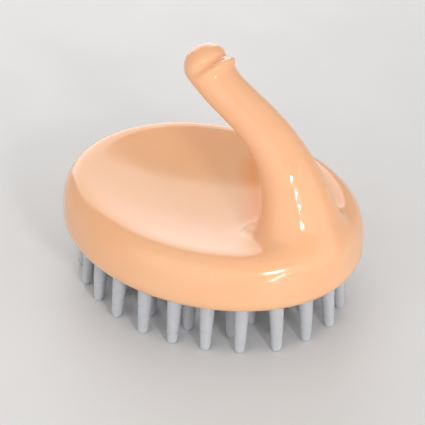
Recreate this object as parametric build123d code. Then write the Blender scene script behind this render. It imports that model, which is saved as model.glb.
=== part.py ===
from build123d import *
import os
from math import cos, exp, hypot, pi, radians, sin

# Scalp massager brush: a hard glossy shell with a finger hook, a soft pad with
# massage teeth, and the stiff carrier that stretches the pad and plugs into the
# shell.  Millimetres, +Z up, +X towards the end where the hook grows out of the
# shell, origin on the table under the middle of the shell.

# ---- driving dimensions ------------------------------------------------------
LENGTH = 90.0            # shell along X, at its belly
WIDTH = 74.5             # shell along Y, at its belly

SKIRT_Z = 15.65          # lower edge of the shell
BELLY_Z = 19.4           # height of the widest line
RIM_Z = 30.0             # top of the rim
SKIRT_TUCK = 2.7         # how far the lower edge tucks in under the belly
RIM_TUCK = 6.0           # how far the top of the rim lies inside the belly
SHOULDER_IN = 2.0        # the full, rounded shoulder between the belly and the rim
SHOULDER_Z = 27.9
CREST_IN = 4.0           # width of the rounded inner side of the rim
CREST_FALL = 0.65        # how far it drops before the dish's wall begins
DISH_Z = 25.2            # lowest point of the finger dish
DISH_EYE = 2.0           # half length of the level spot there
DISH_SLOPE = 15.0        # steepest slope of the dish's wall, degrees

WALL = 2.2               # dish and rim
LIP = 1.9                # wall at the lower edge
POCKET_TOP = 21.3        # ceiling of the pocket that the pad plugs into
LEDGE = 1.2              # width of the shoulder at that ceiling
HOLLOW_IN = 2.5          # the hollow's highest line lies this far inside the rim's
HOLLOW_DROP = 0.4        # and it falls this much more on its inner side

# Hook: a straight stem leans out of the dish, bends over towards the middle, runs
# on straight and turns up a little again before the ball end
HOOK_FOOT = (32.5, 22.5) # x and z where the stem starts, inside the shell
HOOK_LEAN = 14.0         # degrees back from upright
HOOK_STEM = 16.0         # length of the stem
HOOK_BEND = 50.0         # degrees
HOOK_BEND_R = 28.0
HOOK_ARM = 9.0           # straight length after the bend
HOOK_KICK = 20.0         # degrees that the end turns back up
HOOK_KICK_R = 30.0
FOOT_HALF = 13.2         # half widths along Y at the foot, the arm and the ball end
ARM_HALF = 6.0
BALL_HALF = 6.5
FLARE_RUN = 21.5         # how far up the hook the foot's flare dies away
BALL_RUN = 11.0          # how far before the end the ball's swelling starts
HOOK_STEPS = (6, 9, 3, 5)        # sections in the stem, bend, arm and end
HOOK_FLATNESS = 0.88     # thickness over width of the hook's section
TIP_STEPS = (24, 46, 66, 82)      # degrees round the hook's ball end
CORE_FOOT = (31.2, 22.0, 6.6, 8.4)   # x, z, half sizes of the hollow in the root
CORE_HEAD = (28.0, 43.0, 3.0, 4.0)

TOOTH_TIP_R = 1.4
TOOTH_ROOT_R = 2.2
# Rings of teeth: tips' distance inside the belly, number, place of the first as a
# share of the pitch, and how far each tip leans out past its root
TOOTH_RINGS = {
    "outer_teeth": (5.0, 24, 0.34, 1.8),
    "second_ring_teeth": (12.0, 15, 0.25, 0.8),
    "third_ring_teeth": (18.2, 10, 0.25, 0.4),
    "centre_teeth": (27.5, 6, 0.0, 0.0),
}

PAD_BOTTOM = 16.3        # underside of the soft pad
PAD_WEB = 1.9            # thickness of the pad
PAD_EDGE = 1.2           # thickness of its turned-up edge
PAD_GAP = 0.2            # between the pad's edge and the pocket
PAD_FOLD = 3.2           # how far the edge folds in over the carrier
FOLD_THICK = 1.1
CARRIER_GAP = 0.1        # between the carrier's edge and the pad's
CARRIER_THICK = 1.8
POSTS = ((18.0, 13.0), (18.0, -13.0), (-19.0, 14.0), (-19.0, -14.0))
POST_R = 2.1             # plug-in posts on the carrier
POST_TOP = 24.2
SOCKET_GAP = 0.1         # round each post
SOCKET_TOP = 24.8
SOCKET_WALL = 1.6
SOCKET_ROOT = 26.0       # the sockets' outsides run up into the dish's wall
CARRIER_WINDOW_R = 5.0   # four lightening windows
CARRIER_WINDOWS = ((0.0, 17.0), (0.0, -17.0), (26.0, 0.0), (-27.0, 0.0))

# ---- worked out from them ----------------------------------------------------
HALF = LENGTH / 2
ASPECT = WIDTH / LENGTH
SKIRT_R = HALF - SKIRT_TUCK
POCKET_R = SKIRT_R - LIP
PAD_R = POCKET_R - PAD_GAP
PAD_INNER_R = PAD_R - PAD_EDGE
CARRIER_BOTTOM = PAD_BOTTOM + PAD_WEB
CARRIER_TOP = CARRIER_BOTTOM + CARRIER_THICK
PAD_TOP = CARRIER_TOP + FOLD_THICK


def oval(radius, z):
    """The shell's outline, shrunk to a half length of radius, at height z."""
    return Wire.make_ellipse(radius, radius * ASPECT, Plane(origin=(0, 0, z)))


def rim_oval(radius, z):
    """Above the belly the rim is as wide at the sides as at the ends, and the dish
    inside it keeps the proportions of the rim's highest line."""
    crest_r = HALF - RIM_TUCK
    crest_width = WIDTH / 2 - RIM_TUCK
    width = crest_width * min(radius / crest_r, 1) + max(radius - crest_r, 0)
    return Wire.make_ellipse(radius, width, Plane(origin=(0, 0, z)))


def plate(radius, z_low, z_high):
    """A straight-sided oval slab."""
    return Solid.extrude(Face(oval(radius, z_low)), Vector(0, 0, z_high - z_low))


def stack(stretches):
    """A solid through ovals that follow a profile, given as (edge, steps) in turn."""
    points = [stretches[0][0] @ 0]
    for edge, steps in stretches:
        points += [edge @ (i / steps) for i in range(1, steps + 1)]
    return Solid.make_loft([(rim_oval if p.Z > BELLY_Z else oval)(p.X, p.Z)
                            for p in points if p.X > DISH_EYE])


def quarter(radius, z_level, across, up, start):
    """A quarter of an ellipse that stands in the XZ plane."""
    plane = Plane(origin=(radius, 0, z_level), x_dir=(1, 0, 0), z_dir=(0, -1, 0))
    return plane * EllipticalCenterArc((0, 0), across, up, start, arc_size=90)


def dish_curve(start, z_middle):
    """From the inner side of the rim down to the level middle of the dish."""
    slope = radians(DISH_SLOPE)
    return Spline(start, (0, 0, z_middle), tangents=((-cos(slope), 0, -sin(slope)), (-1, 0, 0)))


def outside():
    """Lower edge, belly, rim and dish."""
    crest_r = HALF - RIM_TUCK
    slope = radians(DISH_SLOPE)
    lower = quarter(SKIRT_R, BELLY_Z, SKIRT_TUCK, BELLY_Z - SKIRT_Z, -90)
    upper = Spline((HALF, 0, BELLY_Z), (HALF - SHOULDER_IN, 0, SHOULDER_Z), (crest_r, 0, RIM_Z),
                   tangents=((0, 0, 1), (-1, 0, 0)))
    inner = Spline((crest_r, 0, RIM_Z), (crest_r - CREST_IN, 0, RIM_Z - CREST_FALL),
                   tangents=((-1, 0, 0), (-cos(slope), 0, -sin(slope))))
    dish = dish_curve((crest_r - CREST_IN, 0, RIM_Z - CREST_FALL), DISH_Z)
    return stack([(lower, 3), (upper, 8), (inner, 2), (dish, 12)])


def cavity():
    """The hollow above the pocket: it follows the rim and the dish's underside."""
    foot_r = POCKET_R - LEDGE
    crest_r = HALF - RIM_TUCK - HOLLOW_IN
    crest_z = RIM_Z - WALL
    side = Spline((foot_r, 0, POCKET_TOP), (crest_r, 0, crest_z),
                  tangents=((-0.1, 0, 1), (-1, 0, 0)))
    under_r = crest_r - CREST_IN
    under_z = crest_z - CREST_FALL - HOLLOW_DROP
    slope = radians(DISH_SLOPE)
    inner = Spline((crest_r, 0, crest_z), (under_r, 0, under_z),
                   tangents=((-1, 0, 0), (-cos(slope), 0, -sin(slope))))
    under = dish_curve((under_r, 0, under_z), DISH_Z - WALL)
    return stack([(side, 5), (inner, 2), (under, 12)])


def hook_stations():
    """Along the spine: middle x and z, lean from upright, and half width."""
    bend = radians(HOOK_BEND)
    kick = radians(HOOK_KICK)
    stretches = ((HOOK_STEM, 0), (bend * HOOK_BEND_R, bend), (HOOK_ARM, 0), (kick * HOOK_KICK_R, -kick))
    total = sum(length for length, turn in stretches)

    def half_width(run):
        flare = (FOOT_HALF - ARM_HALF) * exp(-(run / FLARE_RUN) ** 2)
        swelling = max(0, 1 - (total - run) / BALL_RUN) ** 2
        return ARM_HALF + flare + (BALL_HALF - ARM_HALF) * swelling

    x, z = HOOK_FOOT
    lean = radians(HOOK_LEAN)
    run = 0.0
    stations = [(x, z, lean, half_width(run))]
    for (length, turn), steps in zip(stretches, HOOK_STEPS):
        for i in range(steps):
            x -= sin(lean + turn / steps / 2) * length / steps
            z += cos(lean + turn / steps / 2) * length / steps
            lean += turn / steps
            run += length / steps
            stations.append((x, z, lean, half_width(run)))
    return stations


def hook():
    """Elliptical sections along the spine, closed with a ball end."""
    stations = hook_stations()
    places = [(*station, 0) for station in stations]
    places += [(*stations[-1], step) for step in TIP_STEPS]
    wires = []
    for x, z, lean, half, step in places:
        turn = radians(step)
        along = Vector(-sin(lean), 0, cos(lean))
        across = Vector(cos(lean), 0, sin(lean))
        thick = half * HOOK_FLATNESS
        middle = Vector(x, 0, z) + along * (thick * sin(turn))
        section = Plane(origin=middle, x_dir=across, z_dir=along)
        wires.append(Wire.make_ellipse(thick * cos(turn), half * cos(turn), section))
    return Solid.make_loft(wires)


def hook_core():
    """The draughted hollow that keeps the hook's root thin, open to the cavity."""
    wires = []
    for x, z, half_x, half_y in (CORE_FOOT, CORE_HEAD):
        wires.append(Wire.make_ellipse(half_x, half_y, Plane(origin=(x, 0, z))))
    return Solid.make_loft(wires, ruled=True)


def pillar(x, y, radius, z_low, z_high):
    return Solid.make_cylinder(radius, z_high - z_low, Plane(origin=(x, y, z_low)))


def handle_shell():
    body = Part() + outside() + hook()
    body -= cavity()
    body -= plate(POCKET_R, SKIRT_Z - 1, POCKET_TOP)
    body -= hook_core()
    for x, y in POSTS:
        body += pillar(x, y, POST_R + SOCKET_GAP + SOCKET_WALL, CARRIER_TOP, SOCKET_ROOT)
        body -= pillar(x, y, POST_R + SOCKET_GAP, CARRIER_TOP - 1, SOCKET_TOP)
    return body


def pad_carrier():
    carrier = Part() + plate(PAD_INNER_R - CARRIER_GAP, CARRIER_BOTTOM, CARRIER_TOP)
    for x, y in POSTS:
        carrier += pillar(x, y, POST_R, CARRIER_TOP - 1, POST_TOP)
    for x, y in CARRIER_WINDOWS:
        carrier -= pillar(x, y, CARRIER_WINDOW_R, CARRIER_BOTTOM - 1, CARRIER_TOP + 1)
    return carrier


def tooth_pad():
    pad = Part() + plate(PAD_R, PAD_BOTTOM, PAD_TOP)
    pad -= plate(PAD_INNER_R, CARRIER_BOTTOM, CARRIER_TOP)
    pad -= plate(PAD_INNER_R - PAD_FOLD, CARRIER_TOP - 0.5, PAD_TOP + 1)
    return pad


def oval_point(a, b, angle):
    return a * cos(angle), b * sin(angle)


def even_angles(a, b, count, first):
    """Oval angles that put count points the same distance apart round the oval."""
    steps = 1440
    ring = [oval_point(a, b, 2 * pi * i / steps) for i in range(steps + 1)]
    run = [0.0]
    for (x0, y0), (x1, y1) in zip(ring, ring[1:]):
        run.append(run[-1] + hypot(x1 - x0, y1 - y0))
    pitch = run[-1] / count
    angles = []
    i = 0
    for k in range(count):
        while run[i] < (k + first) * pitch:
            i += 1
        angles.append(2 * pi * i / steps)
    return angles


def tooth(tip, lean):
    """One tapered tooth with a round tip on the table and its root at the pad."""
    root = Vector(tip[0] - lean[0], tip[1] - lean[1], PAD_BOTTOM)
    ball = Vector(tip[0], tip[1], TOOTH_TIP_R)
    axis = (root - ball).normalized()
    length = (root - ball).length
    slope = (TOOTH_ROOT_R - TOOTH_TIP_R) / length
    start = TOOTH_TIP_R * cos(slope)
    spare = 1.5
    outline = Polyline(
        (start, -TOOTH_TIP_R * sin(slope)),
        (TOOTH_ROOT_R + slope * spare, length + spare),
        (0, length + spare),
        (0, -TOOTH_TIP_R),
    ) + ThreePointArc(
        (0, -TOOTH_TIP_R),
        (TOOTH_TIP_R * sin(pi / 4), -TOOTH_TIP_R * cos(pi / 4)),
        (start, -TOOTH_TIP_R * sin(slope)),
    )
    shape = revolve(Plane.XZ * make_face(outline), Axis.Z)
    turned = Plane(origin=ball, z_dir=axis) * shape
    return split(turned, Plane.XY.offset(PAD_BOTTOM), keep=Keep.BOTTOM)


def ring_of_teeth(inset, count, first, lean_out):
    a = HALF - inset
    b = WIDTH / 2 - inset
    teeth = []
    for angle in even_angles(a, b, count, first):
        tip = oval_point(a, b, angle)
        outward = Vector(cos(angle) / a, sin(angle) / b, 0).normalized() * lean_out
        teeth.append(tooth(tip, (outward.X, outward.Y)))
    return Compound(children=[t.solid() for t in teeth])


def main():
    os.makedirs("parts", exist_ok=True)
    nodes = {"handle_shell": handle_shell(), "pad_carrier": pad_carrier(), "tooth_pad": tooth_pad()}
    for name, ring in TOOTH_RINGS.items():
        nodes[name] = ring_of_teeth(*ring)
    for name, shape in nodes.items():
        export_step(shape, f"parts/{name}.step")


main()
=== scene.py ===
import bpy
import bmesh
import numpy as np
from math import asin, cos, exp, hypot, pi, radians, sin
from mathutils import Matrix, Vector


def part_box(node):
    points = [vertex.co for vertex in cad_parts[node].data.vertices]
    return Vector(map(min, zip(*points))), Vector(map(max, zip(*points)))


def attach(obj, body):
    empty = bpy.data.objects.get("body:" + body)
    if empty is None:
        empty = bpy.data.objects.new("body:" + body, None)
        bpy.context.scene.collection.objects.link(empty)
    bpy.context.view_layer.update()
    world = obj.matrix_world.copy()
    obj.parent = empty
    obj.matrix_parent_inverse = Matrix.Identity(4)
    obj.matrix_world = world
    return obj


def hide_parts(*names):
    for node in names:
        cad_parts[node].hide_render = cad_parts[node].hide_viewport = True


# Scalp massager brush.  The shell and its hook are one implicit surface, turned
# into a mesh; the pad and its teeth are turned shapes.  Lengths are worked out in
# millimetres, like the real thing's drawing, and go into Blender in metres.

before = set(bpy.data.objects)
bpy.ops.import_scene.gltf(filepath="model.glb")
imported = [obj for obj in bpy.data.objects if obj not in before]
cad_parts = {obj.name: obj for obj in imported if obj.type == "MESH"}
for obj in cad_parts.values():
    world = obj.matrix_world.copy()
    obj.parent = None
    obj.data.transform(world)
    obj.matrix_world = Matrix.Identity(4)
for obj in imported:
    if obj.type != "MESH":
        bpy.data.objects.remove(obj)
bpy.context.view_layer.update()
MM = 0.001

# ---- the shell, from the frame and its drawing --------------------------------
SHELL_LOW, SHELL_HIGH = [np.array(corner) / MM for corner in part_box("handle_shell")]
HALF = (SHELL_HIGH[0] - SHELL_LOW[0]) / 2
ASPECT = (SHELL_HIGH[1] - SHELL_LOW[1]) / (SHELL_HIGH[0] - SHELL_LOW[0])
SKIRT_Z = SHELL_LOW[2]
BELLY_Z = 19.4
RIM_Z = 31.9
SKIRT_TUCK = 2.7
RIM_TUCK = 9.0
RIM_SQUARE = 2.3         # power of the rim's cross section; 2 would be an ellipse
CREST_IN = 6.0
DISH_Z = 25.3
DISH_POWER = 2.2
RIM_ROUND = 9.0
WALL = 2.2
LIP = 1.9
POCKET_TOP = 21.3
LEDGE = 1.2
HOLLOW_TOP = 25.6        # top of the hollow under the rim
LIP_ROUND = 0.45         # rounding of the pocket's lower edge
CUT_Z = 17.4             # below this the outside is built ring by ring

# ---- the hook -------------------------------------------------------------------
# A straight stem leans out of the dish, bends over towards the middle, runs on
# straight and turns up a little again before the ball end.
HOOK_FOOT = (32.5, 22.5) # x and z where the stem starts, inside the shell
HOOK_LEAN = 14.0         # degrees back from upright
HOOK_STEM = 16.0         # length of the stem
HOOK_BEND = 50.0         # degrees
HOOK_BEND_R = 28.0
HOOK_ARM = 9.0           # straight length after the bend
HOOK_KICK = 20.0         # degrees that the end turns back up
HOOK_KICK_R = 30.0
FOOT_HALF = 13.2         # half widths across, at the foot, the arm and the ball end
ARM_HALF = 6.0
BALL_HALF = 6.5
FLARE_RUN = 21.5         # how far up the hook the foot's flare dies away
BALL_RUN = 11.0          # how far before the end the ball's swelling starts
HOOK_FLATNESS = 0.88
BLEND = 6.0              # how softly the hook flows into the dish
NEAR_BLEND = 11.0        # softer on the side towards -Y
RIDGE = 1.5              # raised bar across the back of the hook's tip
GROOVE = 0.75            # dip above it
RIDGE_AT = 3.0           # distance back from the middle of the ball end
GROOVE_AT = 0.5
RIDGE_WIDTH = 1.4
GROOVE_WIDTH = 1.0
EASING = 400             # passes that ease the spine from straight to bent

GRID = 0.8   # spacing of the grid that the surface is read on

# ---- painted shade and glow: deep orange painted into the fold at the hook's foot and as the hook's shadow over the dish ---
FOLD_REACH = 7.0         # how far from the meeting of hook and dish it shows
FOLD_SHARE = 0.6
FOLD_END_X = 29.0        # it stops short of the rim at the hook's back
GLOW_START = (17.0, 1.0) # the painted shadow's strongest part runs over the dish from here
GLOW_RUN = (-19.0, 19.0) # by this much
GLOW_REACH = 8.0
GLOW_TOP = 34.0          # and stays below this height


def smooth_min(a, b, k):
    h = np.maximum(k - np.abs(a - b), 0) / k
    return np.minimum(a, b) - h ** 3 * k / 6


def smooth_max(a, b, k):
    return -smooth_min(-a, -b, k)


def hook_stations(steps=100):
    """Rows of x, z and half width along the hook's spine, steps to each stretch of it."""
    bend = radians(HOOK_BEND)
    kick = radians(HOOK_KICK)
    stretches = ((HOOK_STEM, 0), (bend * HOOK_BEND_R, bend),
                 (HOOK_ARM, 0), (kick * HOOK_KICK_R, -kick))
    total = sum(length for length, turn in stretches)
    x, z = HOOK_FOOT
    lean = radians(HOOK_LEAN)
    run = 0.0
    rows = [(x, z, FOOT_HALF)]
    for length, turn in stretches:
        for i in range(steps):
            x -= sin(lean + turn / steps / 2) * length / steps
            z += cos(lean + turn / steps / 2) * length / steps
            lean += turn / steps
            run += length / steps
            flare = (FOOT_HALF - ARM_HALF) * exp(-(run / FLARE_RUN) ** 2)
            swelling = max(0, 1 - (total - run) / BALL_RUN) ** 2
            rows.append((x, z, ARM_HALF + flare + (BALL_HALF - ARM_HALF) * swelling))
    return np.array(rows)


def quarter_distance(across, along, half_across, half_along, power=2.0):
    """About how far outside a quarter of a (super)ellipse a point lies."""
    u = np.maximum(across, 0) / half_across
    v = np.maximum(along, 0) / half_along
    q = (u ** power + v ** power + 1e-12) ** (1 / power)
    slope = np.hypot((u / q) ** (power - 1) / half_across, (v / q) ** (power - 1) / half_along)
    return np.clip((q - 1) / (slope + 1e-6), -60, 60)


def depth_inside(x, y):
    """How far inside the oval outline a point of the plan lies."""
    q = np.sqrt((x / HALF) ** 2 + (y / (HALF * ASPECT)) ** 2) + 1e-6
    slope = np.sqrt((x / HALF ** 2) ** 2 + (y / (HALF * ASPECT) ** 2) ** 2) + 1e-6
    return (1 - q) * q / slope


def body_field(x, y, z):
    """Below zero inside the solid body: outer wall, rim and dish."""
    r = np.sqrt(x ** 2 + (y / ASPECT) ** 2)
    across = RIM_TUCK - depth_inside(x, y)
    upper = quarter_distance(across, z - BELLY_Z, RIM_TUCK, RIM_Z - BELLY_Z, RIM_SQUARE)
    lower = quarter_distance(r - (HALF - SKIRT_TUCK), BELLY_Z - z, SKIRT_TUCK, BELLY_Z - SKIRT_Z)
    long_r = HALF - CREST_IN
    turn = np.clip(np.sqrt(x ** 2 + (y * long_r / (HALF * ASPECT - CREST_IN)) ** 2) / long_r, 0, 1.6)
    rise = RIM_Z - DISH_Z
    slope = rise * DISH_POWER * turn ** (DISH_POWER - 1) / long_r
    dish = (z - DISH_Z - rise * turn ** DISH_POWER) / np.sqrt(1 + slope ** 2)
    return smooth_max(np.maximum(upper, lower), dish, RIM_ROUND)


class Hook:
    """The hook's spine, and how far any point is from its surface."""

    def __init__(self):
        line = hook_stations()
        for repeat in range(EASING):
            line[1:-1] = (line[:-2] + 2 * line[1:-1] + line[2:]) / 4
        self.middle = line[:, :2]
        self.width = line[:, 2]
        run = np.gradient(self.middle, axis=0)
        self.along = run / np.linalg.norm(run, axis=1)[:, None]
        self.back = np.stack([self.along[:, 1], -self.along[:, 0]], 1)
        gaps = np.linalg.norm(np.diff(self.middle, axis=0), axis=1)
        travelled = np.concatenate([[0], np.cumsum(gaps)])
        self.to_tip = travelled[-1] - travelled

    def planar(self, x, z):
        """Nearest spine place for points of the XZ plane."""
        flat = np.stack([x.ravel(), z.ravel()], 1)
        coarse = self.middle[::8]
        nearest = np.empty(len(flat), int)
        for start in range(0, len(flat), 8000):
            part = flat[start:start + 8000]
            rough = ((part[:, None] - coarse[None]) ** 2).sum(2).argmin(1) * 8
            tries = np.clip(rough[:, None] + np.arange(-8, 9), 0, len(self.middle) - 1)
            gap = ((part[:, None] - self.middle[tries]) ** 2).sum(2).argmin(1)
            nearest[start:start + 8000] = tries[np.arange(len(part)), gap]
        offset = flat - self.middle[nearest]
        along = (offset * self.along[nearest]).sum(1)
        back = (offset * self.back[nearest]).sum(1)
        inside = (nearest > 0) & (nearest < len(self.middle) - 1)
        # between two samples the width and the distance to the tip run on smoothly
        rate = np.gradient(self.width, self.to_tip)
        width = self.width[nearest] - np.where(inside, along, 0) * rate[nearest]
        past = np.where(inside, 0, along)
        tip = self.to_tip[nearest] - along
        shape = x.shape
        return [v.reshape(shape) for v in (past, back, width, tip)]

    def field(self, x, y, z):
        past, back, width, tip = self.planar(x, z)
        return self.section(past, back, width, tip, y)

    def section(self, past, back, width, tip, y):
        thick = width * HOOK_FLATNESS
        flat = np.sqrt(past ** 2 + back ** 2)
        q = np.sqrt((flat / thick) ** 2 + (y / width) ** 2)
        slope = np.sqrt((flat / thick ** 2) ** 2 + (y / width ** 2) ** 2) + 1e-9
        distance = np.clip((q - 1) * q / slope, -9, 80)
        reach = np.sqrt(flat ** 2 + y ** 2) + 1e-6
        behind = np.clip(0.2 + 0.8 * back / reach, 0, 1)
        bar = RIDGE * np.exp(-((tip - RIDGE_AT) / RIDGE_WIDTH) ** 2)
        dip = GROOVE * np.exp(-((tip - GROOVE_AT) / GROOVE_WIDTH) ** 2)
        return distance - (bar - dip) * behind


hook = Hook()


def blend_at(y, z):
    """The blend dies away towards the belly, below which the shell is a plain oval."""
    side = np.clip(0.5 - y / 16, 0, 1)
    side = side * side * (3 - 2 * side)
    return (BLEND + (NEAR_BLEND - BLEND) * side) * np.clip((z - BELLY_Z - 1) / 7, 0.05, 1)


def shell_field(x, y, z):
    return smooth_min(body_field(x, y, z), hook.field(x, y, z), blend_at(y, z))


def grid_field(xs, ys, zs):
    """shell_field on a whole grid; the hook's plane part is shared by all y."""
    body = body_field(xs[:, None, None], ys[None, :, None], zs[None, None, :])
    gx, gz = np.meshgrid(xs, zs, indexing="ij")
    flat = [v[:, None, :] for v in hook.planar(gx, gz)]
    arm = hook.section(*flat, ys[None, :, None])
    return smooth_min(body, arm, blend_at(ys[None, :, None], zs[None, None, :]))


def surface_net(field, axes):
    """Quads on the zero surface of a grid of values, one vertex to a crossed cell."""
    inside = field < 0
    size = np.array(field.shape)
    count = np.zeros(size - 1, int)
    corners = [(i, j, k) for i in (0, 1) for j in (0, 1) for k in (0, 1)]
    for i, j, k in corners:
        count += inside[i:size[0] - 1 + i, j:size[1] - 1 + j, k:size[2] - 1 + k]
    cells = np.argwhere((count > 0) & (count < 8))
    index = -np.ones(count.shape, int)
    index[tuple(cells.T)] = np.arange(len(cells))
    total = np.zeros((len(cells), 3))
    hits = np.zeros(len(cells))
    for corner in corners:
        for axis in range(3):
            if corner[axis]:
                continue
            other = list(corner)
            other[axis] = 1
            low = field[tuple((cells + corner).T)]
            high = field[tuple((cells + other).T)]
            crossed = (low < 0) != (high < 0)
            share = np.where(crossed, low / np.where(crossed, low - high, 1), 0)
            place = np.tile(np.array(corner, float), (len(cells), 1))
            place[:, axis] = share
            total[crossed] += place[crossed]
            hits[crossed] += 1
    start = np.array([a[0] for a in axes])
    step = np.array([a[1] - a[0] for a in axes])
    points = start + (cells + total / hits[:, None]) * step
    quads = []
    for axis in range(3):
        low = [slice(1, n - 1) for n in size]
        high = list(low)
        low[axis] = slice(0, size[axis] - 1)
        high[axis] = slice(1, size[axis])
        before = inside[tuple(low)]
        crossed = np.argwhere(before != inside[tuple(high)])
        shift = np.array([1, 1, 1])
        shift[axis] = 0
        base = crossed + shift
        one, two = [n for n in range(3) if n != axis]
        ring = []
        for back_one, back_two in ((0, 0), (1, 0), (1, 1), (0, 1)):
            cell = base.copy()
            cell[:, one] -= back_one
            cell[:, two] -= back_two
            ring.append(index[tuple(cell.T)])
        quad = np.stack(ring, 1)
        flip = before[tuple(crossed.T)]
        if axis == 1:
            flip = ~flip
        quad[~flip] = quad[~flip][:, ::-1]
        quads.append(quad)
    return points, np.concatenate(quads)


def gradient(points, step=0.05):
    """The direction in which shell_field grows, at each point."""
    out = np.zeros_like(points)
    for axis in range(3):
        shift = np.zeros(3)
        shift[axis] = step
        ahead = shell_field(*(points + shift).T)
        behind = shell_field(*(points - shift).T)
        out[:, axis] = (ahead - behind) / (2 * step)
    return out


def settle(points, quads, rounds=4):
    """Evens the mesh out along the surface and puts every vertex exactly on it."""
    edges = np.concatenate([quads[:, [0, 1]], quads[:, [1, 2]], quads[:, [2, 3]], quads[:, [3, 0]]])
    links = np.bincount(edges.ravel(), minlength=len(points))
    for turn in range(rounds):
        for repeat in range(2):
            slope = gradient(points)
            value = shell_field(*points.T)
            points = points - slope * (value / (slope ** 2).sum(1))[:, None]
        if turn == rounds - 1:
            break
        total = np.zeros_like(points)
        for one, two in ((0, 1), (1, 0)):
            for axis in range(3):
                total[:, axis] += np.bincount(edges[:, one], points[edges[:, two], axis],
                                              minlength=len(points))
        move = total / links[:, None] - points
        normal = slope / np.linalg.norm(slope, axis=1)[:, None]
        move -= normal * (move * normal).sum(1)[:, None]
        points = points + 0.5 * move
    return points


def skirt_radius(z):
    """Long radius of the tucked-under lower edge."""
    return HALF - SKIRT_TUCK * (1 - np.sqrt(1 - ((BELLY_Z - z) / (BELLY_Z - SKIRT_Z)) ** 2))


def arc(r, z, across, up, start, stop, steps):
    """Points (r, z) round part of an ellipse; the angles are in degrees."""
    turns = np.radians(np.linspace(start, stop, steps))
    return [(r + across * cos(t), z + up * sin(t)) for t in turns]


def under_profile():
    """(r, z) from the cut down round the lower edge, up the pocket and over the hollow."""
    first = -np.degrees(asin((BELLY_Z - CUT_Z) / (BELLY_Z - SKIRT_Z)))
    skirt_r = HALF - SKIRT_TUCK
    pocket_r = skirt_r - LIP
    ledge_r = pocket_r - LEDGE
    crest_r = HALF - CREST_IN - 1.5
    low_z = DISH_Z - WALL
    lower = arc(skirt_r, BELLY_Z, SKIRT_TUCK, BELLY_Z - SKIRT_Z, first, -90, 8)[1:]
    corner = arc(pocket_r + LIP_ROUND, SKIRT_Z + LIP_ROUND, LIP_ROUND, LIP_ROUND, 270, 180, 6)
    wall = [(pocket_r, 18.5), (pocket_r, POCKET_TOP - 0.1), (pocket_r, POCKET_TOP),
            (pocket_r - 0.1, POCKET_TOP), (ledge_r + 0.1, POCKET_TOP), (ledge_r, POCKET_TOP)]
    side = arc(crest_r, POCKET_TOP, ledge_r - crest_r, HOLLOW_TOP - POCKET_TOP, 4, 90, 9)
    under = [(crest_r * t, low_z + (HOLLOW_TOP - low_z) * t ** DISH_POWER)
             for t in np.linspace(0.96, 0.04, 14)]
    return lower + corner + wall + side + under


def link(obj):
    bpy.context.scene.collection.objects.link(obj)
    return obj


def new_object(name, bm, normals=None):
    mesh = bpy.data.meshes.new(name)
    bm.to_mesh(mesh)
    bm.free()
    mesh.polygons.foreach_set("use_smooth", [True] * len(mesh.polygons))
    if normals is not None:
        mesh.normals_split_custom_set_from_vertices(normals)
    return link(bpy.data.objects.new(name, mesh))


def build_shell():
    """The object, its vertices' places in millimetres, and how many of them lie above the cut."""
    margin = 3
    axes = [np.arange(-HALF - margin, HALF + margin, GRID),
            np.arange(-HALF * ASPECT - margin, HALF * ASPECT + margin, GRID),
            np.arange(CUT_Z - 2 * GRID, SHELL_HIGH[2] + margin, GRID)]
    points, quads = surface_net(grid_field(*axes), axes)
    points = settle(points, quads)
    mesh = bpy.data.meshes.new("net")
    mesh.from_pydata(points.tolist(), [], quads.tolist())
    bm = bmesh.new()
    bm.from_mesh(mesh)
    bpy.data.meshes.remove(mesh)
    cut = bmesh.ops.bisect_plane(bm, geom=bm.verts[:] + bm.edges[:] + bm.faces[:], dist=1e-4,
                                 plane_co=(0, 0, CUT_Z), plane_no=(0, 0, -1), clear_outer=True)
    edge = [g for g in cut["geom_cut"] if isinstance(g, bmesh.types.BMVert)]
    bmesh.ops.remove_doubles(bm, verts=edge, dist=GRID * 0.3)
    edge = sorted({v for e in bm.edges if e.is_boundary for v in e.verts},
                  key=lambda v: np.arctan2(v.co.y / ASPECT, v.co.x))
    spokes = []
    for v in edge:
        r = hypot(v.co.x, v.co.y / ASPECT)
        spokes.append((v.co.x / r, v.co.y / r, r - skirt_radius(CUT_Z)))
    profile = under_profile()
    ring = edge
    for r, z in profile:
        fade = (z - SKIRT_Z) / (CUT_Z - SKIRT_Z) if ring is edge else 0
        lower = []
        for x, y, over in spokes:
            reach = r + over * fade
            lower.append(bm.verts.new((reach * x, reach * y, z)))
        for i, v in enumerate(ring):
            j = (i + 1) % len(ring)
            bm.faces.new((v, lower[i], lower[j], ring[j]))
        ring = lower
    hub = bm.verts.new((0, 0, DISH_Z - WALL))
    for i, v in enumerate(ring):
        bm.faces.new((v, hub, ring[(i + 1) % len(ring)]))
    bmesh.ops.recalc_face_normals(bm, faces=bm.faces[:])
    bm.verts.index_update()
    places = np.array([v.co[:] for v in bm.verts])
    normals = np.zeros_like(places)
    kept = len(bm.verts) - (len(profile) * len(edge) + 1)
    normals[:kept] = gradient(places[:kept])
    normals[:kept] /= np.linalg.norm(normals[:kept], axis=1)[:, None]
    for v in bm.verts:
        v.co *= MM
    return new_object("shell", bm, normals), places, kept


shell, shell_places, shell_top = build_shell()

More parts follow.
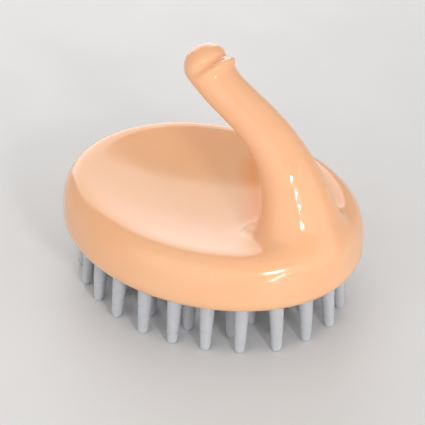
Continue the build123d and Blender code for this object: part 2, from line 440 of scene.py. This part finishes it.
# ---- the pad and its teeth ---------------------------------------------------------
PAD_LOW, PAD_HIGH = [np.array(corner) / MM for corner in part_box("tooth_pad")]
PAD_R = (PAD_HIGH[0] - PAD_LOW[0]) / 2
PAD_INNER_R = PAD_R - 1.2
PAD_FOLD = 3.2
CARRIER_THICK = 1.8
TIP_R = 1.4
ROOT_R = 2.25
TIP_RISE = 1.2           # height of the rounded tip
TIP_SQUARE = 2.5         # power of its section; 2 would be round
FLARE = 0.4              # how far a tooth's root spreads where it meets the pad
TIP_SCATTER = 0.22       # moulded teeth never stand quite evenly
BOW_SCATTER = 0.12
SIZE_SCATTER = 0.02
SEED = 11
# per ring: distance in from the belly, how many, share of the pitch that the
# first is turned by, how far each tip leans out past its root
TOOTH_RINGS = {
    "outer_teeth": (5.0, 24, 0.34, 1.8),
    "second_ring_teeth": (12.0, 15, 0.25, 0.8),
    "third_ring_teeth": (18.2, 10, 0.25, 0.4),
    "centre_teeth": (27.5, 6, 0.0, 0.0),
}


def turned(bm, profile, centres, segments, width=1.0):
    """Rings (r, z) about the given centres; both ends are closed to a point."""
    turns = np.linspace(0, 2 * pi, segments, endpoint=False)
    last = bm.verts.new((*centres[0], profile[0][1]))
    ring = None
    for (r, z), (cx, cy) in zip(profile[1:-1], centres[1:-1]):
        new = [bm.verts.new((cx + r * cos(t), cy + r * width * sin(t), z)) for t in turns]
        for i in range(segments):
            j = (i + 1) % segments
            if ring is None:
                bm.faces.new((last, new[j], new[i]))
            else:
                bm.faces.new((ring[i], ring[j], new[j], new[i]))
        ring = new
    last = bm.verts.new((*centres[-1], profile[-1][1]))
    for i in range(segments):
        bm.faces.new((ring[i], ring[(i + 1) % segments], last))


def build_pad():
    """The soft pad, whose turned-up edge folds in over the carrier."""
    low, high = PAD_LOW[2], PAD_HIGH[2]
    shelf = low + 1.9
    step = 0.7
    profile = [(0, low)] + [(PAD_R * t, low) for t in (0.2, 0.4, 0.6, 0.8, 0.93)]
    profile += arc(PAD_R - step, low + step, step, step, -90, 0, 7)
    profile += arc(PAD_R - 0.4, high - 0.4, 0.4, 0.4, 0, 90, 5)
    profile += [(PAD_INNER_R - PAD_FOLD + 0.3, high), (PAD_INNER_R - PAD_FOLD, high - 0.3),
                (PAD_INNER_R - PAD_FOLD, shelf + CARRIER_THICK),
                (PAD_INNER_R - 0.05, shelf + CARRIER_THICK),
                (PAD_INNER_R, shelf + CARRIER_THICK - 0.05), (PAD_INNER_R, shelf + 0.05),
                (PAD_INNER_R - 0.05, shelf), (20, shelf), (0, shelf)]
    bm = bmesh.new()
    turned(bm, profile, [(0, 0)] * len(profile), 160, ASPECT)
    bmesh.ops.recalc_face_normals(bm, faces=bm.faces[:])
    for v in bm.verts:
        v.co *= MM
    return new_object("pad", bm)


def even_angles(a, b, count, first):
    """Oval angles that put count points the same distance apart round the oval."""
    turns = np.linspace(0, 2 * pi, 1441)
    gaps = np.hypot(np.diff(a * np.cos(turns)), np.diff(b * np.sin(turns)))
    run = np.concatenate([[0], np.cumsum(gaps)])
    return np.interp((np.arange(count) + first) / count * run[-1], run, turns)


def build_teeth(name, inset, count, first, lean, random):
    """One ring of teeth, each from its round tip on the floor to its root in the pad."""
    top = PAD_LOW[2]
    a = HALF - inset
    b = HALF * ASPECT - inset
    bm = bmesh.new()
    for angle in even_angles(a, b, count, first):
        tip = np.array([a * cos(angle), b * sin(angle)])
        out = np.array([cos(angle) / a, sin(angle) / b])
        root = tip - out / np.linalg.norm(out) * lean
        tip = tip + random.normal(0, TIP_SCATTER, 2)
        bow = random.normal(0, BOW_SCATTER, 2)
        size = 1 + random.normal(0, SIZE_SCATTER)
        heights = [0] + [TIP_RISE * (1 - cos(radians(t))) for t in (9, 20, 32, 44, 56, 68, 80)]
        heights += list(np.linspace(TIP_RISE * 1.1, top - 2.2, 7))
        heights += [top - 1.5, top - 1.0, top - 0.6, top - 0.3, top - 0.1, top + 0.3, top + 0.31]
        profile, centres = [], []
        for z in heights:
            r = TIP_R + (ROOT_R - TIP_R) * z / top
            if z < TIP_RISE:
                r *= (1 - (1 - z / TIP_RISE) ** TIP_SQUARE) ** (1 / TIP_SQUARE)
            spread = max(0, z - (top - 1.6)) / 1.6
            r += FLARE * (1 - np.sqrt(max(0, 1 - min(spread, 1) ** 2))) * 0.9
            share = z / top
            profile.append((r * size, z))
            centres.append(tip + (root - tip) * share + bow * sin(pi * min(share, 1)))
        turned(bm, profile, centres, 20)
    bmesh.ops.recalc_face_normals(bm, faces=bm.faces[:])
    for v in bm.verts:
        v.co *= MM
    return new_object(name, bm)


random = np.random.default_rng(SEED)
pad = build_pad()
rings = {node: build_teeth(node + "_soft", *ring, random) for node, ring in TOOTH_RINGS.items()}

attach(shell, "root")
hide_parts("handle_shell")
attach(pad, "root")
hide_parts("tooth_pad")
for node, piece in rings.items():
    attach(piece, "root")
    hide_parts(node)


# ---- materials -----------------------------------------------------------------------
def srgb(r, g, b):
    c = np.array([r, g, b]) / 255
    return (*np.where(c <= 0.04045, c / 12.92, ((c + 0.055) / 1.055) ** 2.4), 1.0)


def new_material(name):
    material = bpy.data.materials.new(name)
    material.use_nodes = True
    return material, material.node_tree, material.node_tree.nodes["Principled BSDF"]


def noise(tree, scale, detail, coords):
    node = tree.nodes.new("ShaderNodeTexNoise")
    node.inputs["Scale"].default_value = scale
    node.inputs["Detail"].default_value = detail
    tree.links.new(coords, node.inputs["Vector"])
    return node.outputs["Fac"]


def ranged(tree, value, low, high, start=0.3, stop=0.7):
    node = tree.nodes.new("ShaderNodeMapRange")
    tree.links.new(value, node.inputs["Value"])
    for socket, number in (("From Min", start), ("From Max", stop), ("To Min", low), ("To Max", high)):
        node.inputs[socket].default_value = number
    return node.outputs["Result"]


def mixed(tree, share, one, two):
    node = tree.nodes.new("ShaderNodeMix")
    node.data_type = "RGBA"
    tree.links.new(share, node.inputs["Factor"])
    for socket, colour in (("A", one), ("B", two)):
        place = [s for s in node.inputs if s.name == socket and s.type == "RGBA"][0]
        if isinstance(colour, tuple):
            place.default_value = colour
        else:
            tree.links.new(colour, place)
    return [s for s in node.outputs if s.type == "RGBA"][0]


def bumped(tree, shader, height, distance):
    node = tree.nodes.new("ShaderNodeBump")
    node.inputs["Distance"].default_value = distance
    tree.links.new(height, node.inputs["Height"])
    tree.links.new(node.outputs["Normal"], shader.inputs["Normal"])


def place_of(tree):
    """Where a point lies on the object, for the noises."""
    return tree.nodes.new("ShaderNodeTexCoord").outputs["Object"]


def shell_material():
    material, tree, shader = new_material("peach_gloss")
    at = place_of(tree)
    cloudy = ranged(tree, noise(tree, 38, 2, at), 0, 1)
    skin = mixed(tree, cloudy, srgb(250, 188, 142), srgb(251, 193, 150))
    # painted shade and glow: deep orange mixed into the base colour wherever the painted fold and
    # shadow value is set
    painted_glow_node = tree.nodes.new("ShaderNodeAttribute")
    painted_glow_node.attribute_name = "painted_shade_glow"
    skin = mixed(tree, painted_glow_node.outputs["Fac"], skin, srgb(250, 146, 48))
    tree.links.new(skin, shader.inputs["Base Color"])
    tree.links.new(ranged(tree, noise(tree, 130, 3, at), 0.11, 0.17), shader.inputs["Roughness"])
    bumped(tree, shader, noise(tree, 60, 1, at), 0.00006)
    shader.inputs["Subsurface Weight"].default_value = 0.45
    shader.inputs["Subsurface Radius"].default_value = (1.0, 0.42, 0.2)
    shader.inputs["Subsurface Scale"].default_value = 0.005
    shader.inputs["IOR"].default_value = 1.5
    return material


def silicone_material():
    material, tree, shader = new_material("frosted_silicone")
    at = place_of(tree)
    tint = ranged(tree, noise(tree, 160, 2, at), 0, 1)
    colour = mixed(tree, tint, srgb(192, 194, 198), srgb(188, 190, 195))
    tree.links.new(colour, shader.inputs["Base Color"])
    tree.links.new(ranged(tree, noise(tree, 420, 3, at), 0.24, 0.36), shader.inputs["Roughness"])
    bumped(tree, shader, noise(tree, 700, 3, at), 0.000012)
    shader.inputs["Subsurface Weight"].default_value = 0.85
    shader.inputs["Subsurface Radius"].default_value = (1.0, 1.0, 1.0)
    shader.inputs["Subsurface Scale"].default_value = 0.003
    shader.inputs["IOR"].default_value = 1.41
    return material


def carrier_material():
    material, tree, shader = new_material("moulded_plate")
    at = place_of(tree)
    tint = ranged(tree, noise(tree, 90, 3, at), 0, 1)
    colour = mixed(tree, tint, srgb(232, 226, 216), srgb(222, 215, 204))
    tree.links.new(colour, shader.inputs["Base Color"])
    tree.links.new(ranged(tree, noise(tree, 300, 3, at), 0.4, 0.55), shader.inputs["Roughness"])
    bumped(tree, shader, noise(tree, 900, 4, at), 0.00004)
    return material


def paper_material():
    material, tree, shader = new_material("pale_paper")
    at = place_of(tree)
    tint = ranged(tree, noise(tree, 3, 2, at), 0, 1)
    colour = mixed(tree, tint, (0.76, 0.76, 0.76, 1), (0.80, 0.80, 0.80, 1))
    tree.links.new(colour, shader.inputs["Base Color"])
    tree.links.new(ranged(tree, noise(tree, 40, 2, at), 0.5, 0.6), shader.inputs["Roughness"])
    return material


def paint_shade_glow(obj, places, kept):
    """A vertex value for painted shade and glow: deep orange painted into the fold at the hook's foot
    and, as the hook's painted shadow lit orange through it, over the dish beside it.
    """
    value = np.zeros(len(places))
    top = places[:kept]
    body = body_field(*top.T)
    arm = hook.field(*top.T)
    # painted shade: deep orange in the fold where hook and dish meet, standing for shade and light
    # glowing through the plastic
    fold = FOLD_SHARE * np.clip(1 - np.maximum(body, arm) / FOLD_REACH, 0, 1) ** 1.2
    fold *= np.clip((FOLD_END_X - top[:, 0]) / FOLD_REACH, 0, 1)
    fold *= np.clip((top[:, 1] + 1) / 6, 0, 1)         # only on the +Y side, the side in the hook's shade
    # painted shadow: the hook's shadow across the dish, painted as an orange glow of light passing
    # through the hook
    start = np.array(GLOW_START)
    run = np.array(GLOW_RUN)
    share = np.clip(((top[:, :2] - start) * run).sum(1) / (run ** 2).sum(), 0, 1)
    gap = np.linalg.norm(top[:, :2] - start - share[:, None] * run, axis=1)
    glow = np.clip(1 - gap / (GLOW_REACH - 3 * share), 0, 1) ** 1.1
    glow *= (0.8 - 0.4 * share) * (top[:, 2] < GLOW_TOP)
    value[:kept] = np.maximum(fold, glow)
    layer = obj.data.attributes.new("painted_shade_glow", "FLOAT", "POINT")
    layer.data.foreach_set("value", value.astype(np.float32))


paint_shade_glow(shell, shell_places, shell_top)
shell.data.materials.append(shell_material())
silicone = silicone_material()
for piece in [pad, *rings.values()]:
    piece.data.materials.append(silicone)
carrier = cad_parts["pad_carrier"]
carrier.data.materials.clear()
carrier.data.materials.append(carrier_material())

# ---- floor, light and camera ----------------------------------------------------------
bm = bmesh.new()
bmesh.ops.create_grid(bm, x_segments=4, y_segments=4, size=3.0)
floor = new_object("floor", bm)
floor.data.materials.append(paper_material())

AZIMUTH, ELEVATION, ROLL = radians(39.3), radians(32.5), radians(1.42)
DISTANCE = 0.434
LENS = 131.5
back = Vector((sin(AZIMUTH) * cos(ELEVATION), -cos(AZIMUTH) * cos(ELEVATION), sin(ELEVATION)))
right = Vector((cos(AZIMUTH), sin(AZIMUTH), 0))
up = back.cross(right)


def softbox(name, toward, distance, width, height, power):
    """A rectangular light that far from the object in that direction, facing it."""
    lamp = bpy.data.lights.new(name, "AREA")
    lamp.shape = "RECTANGLE"
    lamp.size = width
    lamp.size_y = height
    lamp.energy = power
    obj = link(bpy.data.objects.new(name, lamp))
    direction = Vector(toward).normalized()
    obj.location = Vector((0, 0, 0.025)) + direction * distance
    obj.rotation_euler = direction.to_track_quat("Z", "Y").to_euler()


behind = Vector((-back.x, -back.y, 0)).normalized()
softbox("back_panel", behind - right * 0.20 + Vector((0, 0, 0.36)), 0.75, 0.68, 0.60, 2.45)
softbox("front_right", (0.74, -0.40, 0.40), 0.6, 0.065, 0.08, 0.75)
softbox("low_spot", (0.91, -0.40, 0.04), 0.5, 0.07, 0.03, 0.12)
softbox("front_fill", (0.10, -1.0, 0.5), 1.8, 2.6, 2.0, 13.2)
softbox("right_fill", (1.0, 0.15, 0.30), 1.5, 2.4, 1.0, 6.5)
softbox("overhead", (-0.15, 0.1, 1), 0.9, 0.7, 0.7, 0.5)

world = bpy.data.worlds.new("studio")
world.use_nodes = True
world.node_tree.nodes["Background"].inputs["Color"].default_value = (0.80, 0.78, 0.76, 1)
world.node_tree.nodes["Background"].inputs["Strength"].default_value = 0.56
bpy.context.scene.world = world
bpy.context.scene.view_settings.view_transform = "Standard"

camera = link(bpy.data.objects.new("camera", bpy.data.cameras.new("camera")))
camera.data.lens = LENS
camera.data.sensor_width = 36
camera.data.clip_start = 0.01
aim = Vector((0, 0, 0.020)) + right * 0.00036 + up * 0.00115
turn = Matrix((right, up, back)).transposed() @ Matrix.Rotation(ROLL, 3, "Z")
camera.matrix_world = Matrix.Translation(aim + back * DISTANCE) @ turn.to_4x4()
bpy.context.scene.camera = camera

bpy.context.view_layer.update()
